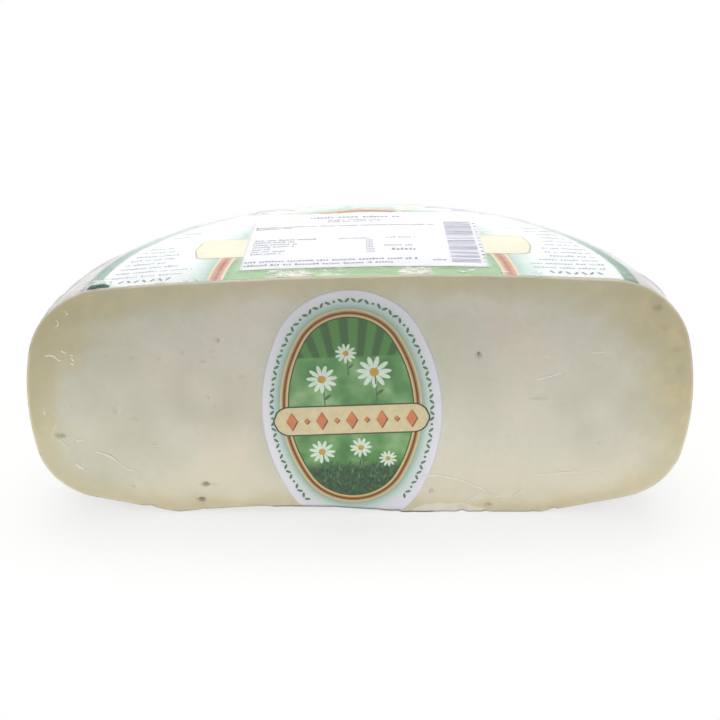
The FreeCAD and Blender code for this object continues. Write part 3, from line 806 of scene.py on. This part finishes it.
def make_round_print():
    """The same gloss paper, larger: white, with a green edge, a mint glow, an orange ring with
    cream edges and a green middle. Painted highlights of the film whiten it along the cut, and a
    painted glare pales its green edge towards the back."""
    material, tree = new_material("gloss_label_paper_round")
    edge, ring, across, away = (
        add(tree, "Attribute", attribute_name=name).outputs["Fac"]
        for name in ("edge", "ring", "across", "away"))
    place = add(tree, "TexCoord").outputs["Object"]
    # From 14 mm outside the ring's outer edge to 10 mm inside it, with a brighter green at the cut.
    step = add(tree, "MapRange", {"Value": ring, "From Min": -14.0, "From Max": 10.0})
    bands = add(tree, "ValToRGB", {"Fac": step}, stops={
        0.05: "fafafb", 0.22: "eef5f3", 0.45: "d2e5de", 0.575: "b9d5c8", 0.588: "f3edcf",
        0.612: "efdfb8", 0.630: "e09a6c", 0.665: "df8a5c", 0.695: "c47c5c", 0.712: "8c5a4c",
        0.735: "c9805c", 0.77: "e39a70", 0.80: "eec7a0", 0.815: "f3edcf", 0.838: "f1ecd0",
        0.846: "88b980", 0.90: "92bf88", 0.98: "b0d3a8"})
    front = add(tree, "MapRange", {"Value": away, "From Min": 2.0, "From Max": 9.0,
                                   "To Min": 1.0, "To Max": 0.0})
    middle = add(tree, "MapRange", {"Value": ring, "From Min": 6.4, "From Max": 8.0})
    vivid = add(tree, "Math", {0: front, 1: middle}, operation="MULTIPLY")
    bands = add(tree, "Mix", {0: vivid, 6: bands, 7: "9fd082"}, data_type="RGBA")
    # The green edge pales towards the back of the wheel: a painted glare of the lit, glossy top.
    rim = add(tree, "MapRange", {"Value": edge, "From Min": 5.6, "From Max": 5.9,
                                 "To Min": 1.0, "To Max": 0.0})
    deep = add(tree, "MapRange", {"Value": away, "From Min": 0.0, "From Max": 90.0})
    green = add(tree, "ValToRGB", {"Fac": deep}, stops={
        0.0: "2f7d4a", 0.045: "5a9a76", 0.12: "7fb196", 0.40: "a9cabd", 0.62: "d3e4dd",
        1.0: "eaf2ef"})
    rimmed = add(tree, "Mix", {0: rim, 6: bands, 7: green}, data_type="RGBA")
    # White patches in bands along the cut: painted highlights where the film's folds catch the
    # light.
    glare_noise = add(tree, "TexNoise", {"Vector": place, "Scale": 1000 / 6, "Detail": 6.0,
                                 "Roughness": 0.6, "Distortion": 0.3})
    close = add(tree, "MapRange", {"Value": away, "From Min": 0.5, "From Max": 8.5,
                                   "To Min": 0.06, "To Max": -0.16})
    patches = add(tree, "MapRange", {"Value": across, "From Min": -60.0, "From Max": 60.0})
    patches = add(tree, "ValToRGB", {"Fac": patches}, stops={
        0.0: 0, 0.17: 0, 0.22: 0.34, 0.31: 0.45, 0.345: 0.04, 0.39: 0.26, 0.43: 0.24, 0.47: 0,
        0.61: 0, 0.645: 0.46, 0.72: 0.33, 0.75: 0})
    film_glare = add(tree, "Math", {0: glare_noise, 1: close}, operation="ADD")
    film_glare = add(tree, "Math", {0: film_glare, 1: patches.outputs["Color"]}, operation="ADD")
    film_glare = add(tree, "MapRange", {"Value": film_glare, "From Min": 0.60, "From Max": 0.86,
                                    "To Max": 0.92})
    wear_and_glare = add(tree, "Mix", {0: film_glare, 6: rimmed, 7: "f2f3e4"}, data_type="RGBA")
    # A pale line along the cut edge: a painted glint of the film's edge.
    edge_glint = add(tree, "MapRange", {"Value": away, "From Min": 0.9, "From Max": 1.3,
                                 "To Min": 0.8, "To Max": 0.0})
    edge_glinted = add(tree, "Mix", {0: edge_glint, 6: wear_and_glare, 7: "eef0dc"}, data_type="RGBA")
    # Left of the crumpled end the print is gone.
    far_left = add(tree, "MapRange", {"Value": across, "From Min": -105.0, "From Max": -104.0,
                                      "To Min": 1.0, "To Max": 0.0})
    near_cut = add(tree, "MapRange", {"Value": away, "From Min": 6.0, "From Max": 8.0,
                                      "To Min": 1.0, "To Max": 0.0})
    torn = add(tree, "Math", {0: far_left, 1: near_cut}, operation="MULTIPLY")
    final = add(tree, "Mix", {0: torn, 6: edge_glinted, 7: "eeecf2"}, data_type="RGBA")
    finish_paper(tree, final, cockle=20, detail=2.0, strength=0.5, rise=0.0007, roughness=0.32)
    return material


def make_thermal_paper():
    """Thermal label paper: smooth, bright white and nearly dull."""
    material, tree = new_material("thermal_label_paper")
    place = add(tree, "TexCoord").outputs["Object"]
    pulp = add(tree, "TexNoise", {"Vector": place, "Scale": 1000 / 0.8, "Detail": 3.0})
    tone = add(tree, "ValToRGB", {"Fac": pulp}, stops={0.3: "eff0f5", 0.7: "f4f4f8"})
    fibres = add(tree, "Bump", {"Strength": 0.12, "Distance": 0.00005, "Height": pulp})
    surface = add(tree, "BsdfPrincipled", {"Base Color": tone, "Roughness": 0.5, "IOR": 1.47,
                                           "Normal": fibres})
    add(tree, "OutputMaterial", {"Surface": surface})
    return material


# The print on the labels: thin flat shapes, each kind of ink one piece. Where inks lie on each
# other, each is a little higher than the last.

INK = 0.02 * MM                   # an ink's thickness
FIRST, SECOND, THIRD, LAST = 0.015 * MM, 0.04 * MM, 0.065 * MM, 0.13 * MM


def at(across, along, turn=0.0, length=1.0, width=1.0):
    """Where a flat shape goes: its middle in millimetres, its turn in degrees, and its two
    sizes."""
    return (Matrix.Translation((across * MM, along * MM, 0))
            @ Matrix.Rotation(math.radians(turn), 4, "Z")
            @ Matrix.Diagonal((length * MM, width * MM, 1, 1)))


def disc(bm, sides, place):
    """A flat disc, leaf, diamond or blade, a unit across before it is placed."""
    bmesh.ops.create_circle(bm, cap_ends=True, segments=sides, radius=0.5, matrix=place)


def bar(bm, across, along, length, width, turn=0.0):
    """A flat bar, divided so that it follows the cheese."""
    bmesh.ops.create_grid(bm, x_segments=max(1, math.ceil(length / 7)),
                          y_segments=max(1, math.ceil(width / 7)),
                          size=0.5, matrix=at(across, along, turn, length, width))


def round_bar(bm, across, along, length, width, square=2):
    """A flat bar with round ends, or squarer ones."""
    made = bmesh.ops.create_grid(bm, x_segments=math.ceil(length / 1.5), y_segments=8, size=0.5,
                                 matrix=at(0, 0, 0, length, width))["verts"]
    for vert in made:
        over = abs(vert.co.x) / MM - (length - width) / 2
        if over > 0:
            vert.co.y *= max(0.12, max(0.0, 1 - (2 * over / width) ** square) ** (1 / square))
        vert.co += Vector((across, along, 0)) * MM


def row_of_marks(bm, chance, first, last, along, height, gap=0.32):
    """A line of small marks in groups, at the scale of small print."""
    x = first
    left = chance.randint(2, 9)
    while x < last:
        width = height * chance.uniform(0.35, 0.75)
        tall = height * chance.choice((1.0, 1.0, 1.0, 1.35))
        bar(bm, x + width / 2, along + (tall - height) / 2, width, tall)
        x += width + height * gap
        left -= 1
        if left == 0:
            x += height * 0.85
            left = chance.randint(2, 9)


def print_piece(name, bm, ground, label, ink, lift=FIRST):
    """Press one ink's shapes on a label. The oval label's shapes are drawn about its middle."""
    aim, slot, node = label
    if label is FACE_LABEL:
        middle = Matrix.Translation((OVAL_AT[0] * MM, OVAL_AT[1] * MM, 0))
        bm.transform(middle @ Matrix.Rotation(OVAL_TURN, 4, "Z"))
    press(bm, ground, aim, lift, INK)
    new_piece(name, bm, [make_ink(*ink)], slot, node, smooth=False)


def make_ink(name, thick, thin, roughness=0.35):
    """Printing ink, slightly uneven where the press laid it thinner."""
    material, tree = new_material(name)
    place = add(tree, "TexCoord").outputs["Object"]
    spread = add(tree, "TexNoise", {"Vector": place, "Scale": 1000 / 2.5, "Detail": 4.0,
                                    "Roughness": 0.6})
    tone = add(tree, "ValToRGB", {"Fac": spread}, stops={0.35: thick, 0.65: thin})
    surface = add(tree, "BsdfPrincipled", {"Base Color": tone, "Roughness": roughness, "IOR": 1.48})
    add(tree, "OutputMaterial", {"Surface": surface})
    return material


def draw_garland(leaves):
    """Small leaves and berries round the oval label's rim, down to where it folds under."""
    wide, tall, end = OVAL
    inset = 4.2
    ring = oval_outline(wide - inset, tall - inset, end - inset, 102)
    for number, (x, z) in enumerate(ring):
        after = ring[(number + 1) % len(ring)]
        way = math.degrees(math.atan2(after[1] - z, after[0] - x))
        if z + OVAL_AT[1] < 5.6:
            continue
        if number % 6 == 5:
            disc(leaves, 8, at(x, z, 0, 1.15, 1.15))
        else:
            disc(leaves, 6, at(x, z, way + (42 if number % 2 else -42), 2.7, 1.15))


# Daisies on the oval label: across, along and size.
DAISIES = [(-11.5, 15.5, 1.15), (9.5, 18.0, 1.3), (-1.5, 26.5, 0.8), (-13.0, -17.5, 1.0),
           (3.0, -16.0, 0.85), (14.0, -21.5, 0.7)]


def draw_daisies(chance, stems, petals, hearts):
    """Daisies of eleven petals, each on a stem with one leaf."""
    for x, z, large in DAISIES:
        foot = z - 12 * large
        bar(stems, x + 0.6, (z + foot) / 2, 12 * large, 0.5, 92)
        disc(stems, 6, at(x + 1.9, foot + 5 * large, 40, 3.6 * large, 1.2 * large))
        start = chance.uniform(0, 40)
        for k in range(11):
            turn = start + k * 360 / 11 + chance.uniform(-4, 4)
            way, reach = math.radians(turn), 3.3 * large
            disc(petals, 8, at(x + reach * math.cos(way), z + reach * math.sin(way),
                               turn, 4.4 * large, 1.55 * large))
        disc(hearts, 12, at(x, z, 0, 2.9 * large, 2.9 * large))


def draw_grass(chance, dark, light):
    """Blades of grass at the foot of the oval label's ring."""
    for k in range(150):
        x, z = chance.uniform(-19, 19), chance.uniform(-37, -23)
        if float(oval_depth(x - RING_AT[0], z - RING_AT[1], *RING)) < 6.0:
            continue
        disc(dark if k % 3 else light, 3, at(x, z, 90 + chance.uniform(-28, 28),
                                             chance.uniform(2.2, 4.6), chance.uniform(0.5, 0.9)))


def print_oval_label(ground):
    """A garland round the rim, a plain plaque with diamonds, daisies and grass."""
    garland, outline, plaque, shade, diamonds, stems, petals, hearts, dark, light = (
        bmesh.new() for _ in range(10))
    draw_garland(garland)
    middle, low = -0.3, -3.0      # of the plaque
    round_bar(outline, middle, low, 64.0, 13.6)
    round_bar(plaque, middle, low, 62.6, 12.4)
    for k in range(-4, 5):
        x, large = k * 6.1 + middle, k % 2 == 0
        disc(shade, 4, at(x + 0.25, low - 0.3, 0, 4.9 if large else 2.6, 8.4 if large else 3.0))
        disc(diamonds, 4, at(x, low, 0, 4.4 if large else 2.2, 7.8 if large else 2.6))
    chance = random.Random(4)
    draw_daisies(chance, stems, petals, hearts)
    draw_grass(chance, dark, light)
    for name, shapes, lift, *ink in (
            ("oval_garland", garland, FIRST, "dark_green_label_ink", "45725a", "548066"),
            ("oval_plaque_outline", outline, FIRST, "brown_label_ink", "3c3a22", "4c482c"),
            ("oval_plaque", plaque, SECOND, "cream_label_ink", "cfc39c", "d8cdaa"),
            ("oval_diamond_shade", shade, THIRD, "umber_label_ink", "6e4322", "7a4c29"),
            ("oval_diamonds", diamonds, LAST, "orange_label_ink", "c9773f", "d38a50"),
            ("oval_stems", stems, FIRST, "leaf_green_label_ink", "3a6a38", "4b7d45"),
            ("oval_petals", petals, SECOND, "white_label_ink", "cfdccf", "dde6dc"),
            ("oval_hearts", hearts, THIRD, "yellow_label_ink", "bf9338", "cda64c"),
            ("oval_grass_dark", dark, FIRST, "deep_green_label_ink", "1b3a20", "2a4f2c"),
            ("oval_grass_light", light, FIRST, "grass_green_label_ink", "4f7f4c", "6c9863")):
        print_piece(name, shapes, ground, FACE_LABEL, ink, lift)


def print_round_label(ground):
    """Rows of small print beside the ring, a plain cream band over it, and leaves by the rim."""
    chance = random.Random(11)
    marks, leaves, outline, band = (bmesh.new() for _ in range(4))
    base = CUT / MM
    for number in range(19):
        away = 10.5 + number * 4.6
        reach = math.sqrt((ROUND - 9.5) ** 2 - away ** 2)
        if away > 58:
            near = 62 - 0.012 * (away - 58) ** 2
        else:
            near = 66 if away < 22 else 74 if away < 52 else 68
        for side in (-1, 1):
            first, last = sorted((side * reach, side * (near + chance.uniform(0, 6))))
            if last - first > 8:
                row_of_marks(marks, chance, first, last, base + away, 1.35)
    for number in range(-3, 4):
        for side in (-1, 1):
            x, away = side * (84 + number * 3.1), 5.0 + 0.25 * abs(number)
            turn = 90 + side * 28 * (1 if number % 2 else -1)
            disc(leaves, 6, at(x, base + away, turn, 3.6, 1.3))
    for side in (-1, 1):
        round_bar(outline, side * 54.5 + 1.2, base + 37.5, 30.0, 24.6, 4)
        round_bar(band, side * 54.5 + 1.2, base + 37.5, 29.0, 23.6, 4)
    for name, shapes, lift, *ink in (
            ("round_small_print", marks, FIRST, "teal_label_ink", "668f96", "8fb0b4"),
            ("round_leaves", leaves, FIRST, "sage_label_ink", "4a7a60", "5f8d72"),
            ("round_band_outline", outline, FIRST, "bronze_label_ink", "9f9b78", "aca784"),
            ("round_band", band, SECOND, "pale_cream_label_ink", "f0edd2", "f3f0da")):
        print_piece(name, shapes, ground, WHEEL_LABEL, ink, lift)


# Rows of marks on the scale's label: first and last across, distance from the cut, and height.
SCALE_ROWS = [(-22, 16, 76.6, 1.9), (-14, 9, 72.2, 1.25), (-14, 9, 69.6, 1.25),
              (-45, 33, 63.4, 1.35), (-45, -30, 61.0, 1.3), (-44, -19, 44.8, 1.35),
              (-9, 4, 44.8, 1.2), (11, 23, 45.0, 1.2), (10, 21, 34.4, 1.2), (13, 23, 29.2, 1.9),
              (-46, 23, 17.6, 1.35), (-46, 13, 13.6, 1.35), (29, 34, 16.0, 1.3)]


def print_weigh_label(ground):
    """What a shop scale prints, as rows of small marks and a made-up bar code."""
    chance = random.Random(23)
    base = CUT / MM
    black, bars = bmesh.new(), bmesh.new()
    table = []
    for away in (42.0, 39.0, 36.0, 33.0, 30.0, 27.0):
        table.append((-44.5, -35 + chance.uniform(-3, 9), away, 1.2))
        table.append((2.5, 5.5, away, 1.15))
    for first, last, away, height in SCALE_ROWS + table:
        row_of_marks(black, chance, first, last, base + away, height)
    away = 13.4
    while away < 70:
        width = chance.choice((0.45, 0.9, 0.9, 1.8, 2.8))
        bar(bars, 42.2, base + away + width / 2, 11.6, width)
        away += width + chance.choice((0.6, 0.6, 1.1, 1.7))
    for k in range(13):
        x = 49.6 + chance.uniform(-0.1, 0.1)
        bar(black, x, base + 14.5 + 4.3 * k, 1.3, chance.choice((0.8, 1.2)))
    print_piece("scale_print", black, ground, WEIGH_LABEL,
                ("thermal_print", "4e4e5c", "63636f", 0.5))
    print_piece("scale_bars", bars, ground, WEIGH_LABEL,
                ("thermal_print_bars", "9a9ab4", "b0b0c8", 0.5), lift=0.05 * MM)


# The clear film round everything.

RADIUS = 134.0                    # of the wheel, in millimetres
FOLD, FOLD_LIFT = 0.03 * MM, -0.01 * MM       # a fold's thickness, and its lift off the film
CRUMPLE_AT = (-101.3, 4.3)        # middle of the round label's crumpled end, from the wheel's axis
CRUMPLE = (8.8, 6.4)              # its length and depth
CRUMPLE_MARGIN = (9.2, 6.9)       # where its folds have run out
CRUMPLE_LIFT = 0.27 * MM          # its lift off the cheese, which clears the round label


def film_lift(mm, normals):
    """How far the film stands off the cheese, in millimetres: clear of each label and of the
    crumpled end, pleated up and down over the shoulder and the heel, and slightly slack on the
    cut."""
    across, away, height = mm[:, 0], mm[:, 1] - CUT / MM, mm[:, 2]
    on_top = ease(normals[:, 2], 0.2, 0.6)
    big = on_top * ease(ROUND - np.hypot(across, away), -4, 0)
    x, y = across - WEIGH_AT[0], away - WEIGH_AT[1]
    weigh = on_top * ease(WEIGH[0] / 2 - np.abs(x), -3, 0)
    weigh *= ease(y, -3, 0) * ease(WEIGH[1] - y, -3, 0)
    folded = (away < 14) & (normals[:, 2] < -0.5) & (np.abs(across - OVAL_AT[0]) < 34)
    on_face = np.where((away < 1.0) | folded, 1.0, 0.0)
    level = np.minimum(height, 40) * folded + height * ~folded
    oval = on_face * ease(oval_depth(*on_oval(across, level), *OVAL), -3, 0)
    crumpled = on_top * ease(7.0 - np.abs(across - CRUMPLE_AT[0]), 0, 2) * ease(9 - away, 0, 3)
    lift = 0.17 + 0.26 * big + 0.22 * weigh + 0.32 * np.maximum(oval, folded) + 1.35 * crumpled
    turn = np.arctan2(away, across)
    round_way = np.column_stack([turn * RADIUS / 3.4, height / 34, np.hypot(across, away) / 34])
    pleat = 1 - np.abs(rough(round_way, 1.0, 20.0)) * 2.6
    slack = ease(rough(round_way * (0.16, 0.6, 0.6), 1.0, 40.0), -0.15, 0.5)
    slope = np.abs(normals[:, 2])
    bend = ease(slope, 0.10, 0.45) * (1 - ease(slope, 0.86, 0.99))
    rind = ease(away, 1.0, 6.0)
    lift += rind * np.clip(pleat, 0, 1) * slack * (0.14 + 0.60 * bend)
    return lift + (1 - rind) * 0.05 * np.clip(rough(mm, (9, 9, 16), 6.0) + 0.2, 0, 1)


def make_film(bm):
    """A tight clear film over the cheese and the labels."""
    bm.normal_update()
    points = places(bm)
    normals = np.array([vert.normal for vert in bm.verts])
    points += normals * film_lift(points / MM, normals)[:, None] * MM
    points[:, 2] = np.maximum(points[:, 2], 0.05 * MM)
    move_to(bm.verts, points)
    for face in bm.faces:
        face.material_index = 0
    surface = BVHTree.FromBMesh(bm)
    new_piece("clear_film", bm, [make_film_plastic()], "cheese", "cheese")
    return surface


def make_film_plastic():
    """Clear polyethylene film, stretched: nearly unseen face on, and glossy at a low angle and
    along its fine wrinkles."""
    material, tree = new_material("clear_polyethylene_film")
    place = add(tree, "TexCoord").outputs["Object"]
    ripple = add(tree, "TexNoise", {"Vector": place, "Scale": 1000 / 7, "Detail": 3.0,
                                    "Roughness": 0.5, "Distortion": 1.0})
    fine = add(tree, "TexNoise", {"Vector": place, "Scale": 1000 / 2.2, "Detail": 2.0,
                                  "Distortion": 0.6})
    waves = add(tree, "Bump", {"Strength": 0.35, "Distance": 0.0006, "Height": ripple})
    wrinkled = add(tree, "Bump", {"Strength": 0.15, "Distance": 0.0003, "Height": fine,
                                  "Normal": waves})
    gloss = add(tree, "BsdfPrincipled", {"Base Color": (1, 1, 1, 1), "Metallic": 1.0,
                                         "Roughness": 0.14, "Normal": wrinkled})
    clear = add(tree, "BsdfTransparent", {"Color": (0.995, 0.997, 0.995, 1.0)})
    mirror = add(tree, "Fresnel", {"IOR": 1.45, "Normal": wrinkled})
    surface = add(tree, "MixShader", {0: mirror, 1: clear, 2: gloss})
    add(tree, "OutputMaterial", {"Surface": surface})
    return material


def crease(bm, start, middle, end, width, rise):
    """One fold of film from start through middle to end, in millimetres, pinched at both ends."""
    start, middle, end = (np.array(point, float) for point in (start, middle, end))
    bow = 2 * middle - (start + end) / 2
    count = max(6, math.ceil(np.linalg.norm(end - start) / 1.2))
    for vert in bmesh.ops.create_grid(bm, x_segments=count, y_segments=4, size=0.5)["verts"]:
        t, side = vert.co.x + 0.5, 2 * vert.co.y
        place = (1 - t) ** 2 * start + 2 * t * (1 - t) * bow + t * t * end
        way = (1 - t) * (bow - start) + t * (end - bow)
        across = np.array((-way[1], way[0])) / np.linalg.norm(way)
        taper = math.sin(math.pi * min(max(t, 0.02), 0.98)) ** 0.7
        place += across * side * taper * width / 2
        vert.co = Vector((place[0], place[1], rise * taper * (1 - side * side))) * MM


# Single folds on the cut: start, middle, end, width and rise.
FACE_FOLDS = [
    ((-109.5, 28.6), (-104, 27.4), (-99.5, 23.2), 1.5, 0.23),
    ((-99.5, 23), (-96, 20.6), (-91, 19.2), 0.7, 0.08),
    ((-124, 35.5), (-122.5, 33.5), (-120, 31.5), 1.0, 0.15),
    ((-120, 70.5), (-122, 72.5), (-125.5, 72), 1.1, 0.17),
    ((-119.5, 84.5), (-118, 86), (-118.5, 88), 0.7, 0.1),
    ((-115, 89), (-114, 90.3), (-115.3, 91.5), 0.6, 0.08),
    ((-129, 49), (-127.8, 47.6), (-128.5, 45.8), 0.8, 0.13),
    ((-118, 23.5), (-116, 21.7), (-113.5, 20.5), 1.6, 0.1),
    ((70, 62), (76, 63.4), (81.5, 65.6), 0.8, 0.09),
    ((92, 73.4), (95, 74), (98.5, 73.7), 0.7, 0.09),
    ((73, 18), (86, 19.4), (101, 19.2), 0.8, 0.09),
    ((25, 17.6), (40, 16.2), (59, 6.6), 0.7, 0.08),
    ((44, 5), (52, 9), (60, 6.5), 0.6, 0.08),
    ((-85.5, 31.5), (-83, 31.8), (-81, 30.5), 0.6, 0.08),
    ((62, 7), (66, 9.5), (68, 13), 0.5, 0.07)]

# Crumpled patches on the top: across, away from the cut, reach each way, and how many folds.
TOP_FOLDS = [(-28, 4.4, 9, 2.8, 13), (-9, 5.0, 6, 1.6, 4), (22, 4.6, 6, 2.8, 11),
             (40, 4.5, 8, 1.6, 3), (-104, 3.4, 5, 2.6, 12), (66, 3.0, 12, 1.5, 3),
             (-66, 3.0, 12, 1.5, 3)]


def fold_face(bm, chance):
    """The single folds on the cut, and a few short ones near its left and right ends."""
    for fold in FACE_FOLDS:
        crease(bm, *fold)
    for _ in range(9):
        x = chance.choice((-1, 1)) * chance.uniform(112, 128)
        z = chance.uniform(20, 86)
        if abs(x) + 0.012 * (z - 48) ** 2 > 128:
            continue
        tilt = math.atan2(z - 50, abs(x) - 60) + chance.uniform(-0.9, 0.9)
        length = chance.uniform(1.5, 4.5)
        step = np.array((math.copysign(math.cos(tilt), x), math.sin(tilt))) * length / 2
        middle = np.array((x, z)) + (chance.uniform(-0.4, 0.4), chance.uniform(-0.4, 0.4))
        crease(bm, (x, z) - step, middle, (x, z) + step, chance.uniform(0.7, 1.5), 0.06)


def fold_top(bm, chance):
    """The crumpled patches along the upper edge of the cut."""
    for middle_x, middle_y, reach_x, reach_y, count in TOP_FOLDS:
        for _ in range(count):
            x = middle_x + chance.uniform(-1, 1) * reach_x
            y = middle_y + chance.uniform(-1, 1) * reach_y
            tilt = chance.uniform(-1.2, 1.2)
            length = chance.uniform(1.5, 5.0)
            step = np.array((math.cos(tilt), math.sin(tilt) * 0.6)) * length / 2
            if y - abs(step[1]) < 1.0:
                continue
            bend = (chance.uniform(-0.6, 0.6), chance.uniform(-0.4, 0.4))
            place = np.array((x, CUT / MM + y))
            crease(bm, place - step, place + bend, place + step,
                   chance.uniform(1.0, 2.2), chance.uniform(0.12, 0.32))


def make_creases(film):
    """Small folds of the film, on the cut and on the top."""
    chance = random.Random(31)
    plastic = make_creased_plastic()
    for name, draw, aim in (("film_folds_face", fold_face, FRONT),
                            ("film_folds_top", fold_top, TOP)):
        bm = bmesh.new()
        draw(bm, chance)
        press(bm, film, aim, FOLD_LIFT, FOLD)
        new_piece(name, bm, [plastic], "cheese", "cheese")


def make_creased_plastic():
    """The same film where it lies in folds: several layers thick and milky, with a painted
    highlight along the fold."""
    material, tree = new_material("folded_film_with_painted_highlights")
    surface = add(tree, "BsdfPrincipled", {"Base Color": "f4f3ea", "Roughness": 0.38, "IOR": 1.45})
    clear = add(tree, "BsdfTransparent", {"Color": (1, 1, 1, 1)})
    turned = add(tree, "LayerWeight", {"Blend": 0.35}).outputs["Facing"]
    share = add(tree, "MapRange", {"Value": turned, "From Min": 0.0, "From Max": 0.9,
                                   "To Min": 0.20, "To Max": 0.55})
    mixed = add(tree, "MixShader", {0: share, 1: clear, 2: surface})
    add(tree, "OutputMaterial", {"Surface": mixed})
    return material


def crumple_label(ground):
    """The torn and pleated left end of the round label, pushed together at the cut."""
    middle = (CRUMPLE_AT[0], CUT / MM + CRUMPLE_AT[1])
    bm = bmesh.new()
    bmesh.ops.create_grid(bm, x_segments=44, y_segments=26, size=0.5,
                          matrix=at(*middle, -3, *CRUMPLE))
    flat = places(bm) / MM
    margin = np.min(0.5 - np.abs(flat[:, :2] - middle) / CRUMPLE_MARGIN, axis=1)
    inside = ease(margin, 0.0, 0.22)
    folds = np.clip(1 - 2.2 * np.abs(rough(flat, (4.2, 1.7, 1), 12.0)), -0.2, 1)
    for vert, high, share in zip(bm.verts, folds, inside):
        vert.co.z = (0.08 + 1.25 * float(share * (0.35 + 0.65 * high))) * MM
    press(bm, ground, TOP, CRUMPLE_LIFT, THIN_PAPER)
    points = places(bm) / MM
    piece = new_piece("crumpled_label_end", bm, [make_crumpled_print()], *WHEEL_LABEL[1:])
    away = points[:, 1] - CUT / MM
    store(piece, "green", -0.28 + 0.45 * ease(away, 1.9, 2.9) - 0.18 * ease(away, 5.0, 6.2)
          + 0.30 * rough(points * (1, 1, 0), (3.2, 1.4, 1), 30.0))


def make_crumpled_print():
    """Gloss label paper pushed into pleats: dark green print, with mint and bare white in ragged
    bands along the cut."""
    material, tree = new_material("crumpled_gloss_label_paper")
    green = add(tree, "Attribute", attribute_name="green").outputs["Fac"]
    share = add(tree, "MapRange", {"Value": green, "From Min": -0.5, "From Max": 0.5})
    tone = add(tree, "ValToRGB", {"Fac": share}, stops={
        0.18: "2c5a45", 0.40: "3f765c", 0.52: "a9cfc0", 0.66: "e6f0ec", 0.80: "f5f7f6"})
    surface = add(tree, "BsdfPrincipled", {"Base Color": tone, "Roughness": 0.3, "IOR": 1.48})
    add(tree, "OutputMaterial", {"Surface": surface})
    return material


ground, under_film = make_cheese()
face_ground = make_face_label(ground)
wheel_ground = make_wheel_label(ground)
weigh_ground = make_weigh_label(wheel_ground)
print_oval_label(face_ground)
print_round_label(wheel_ground)
print_weigh_label(weigh_ground)
crumple_label(ground)
film_ground = make_film(under_film)
make_creases(film_ground)
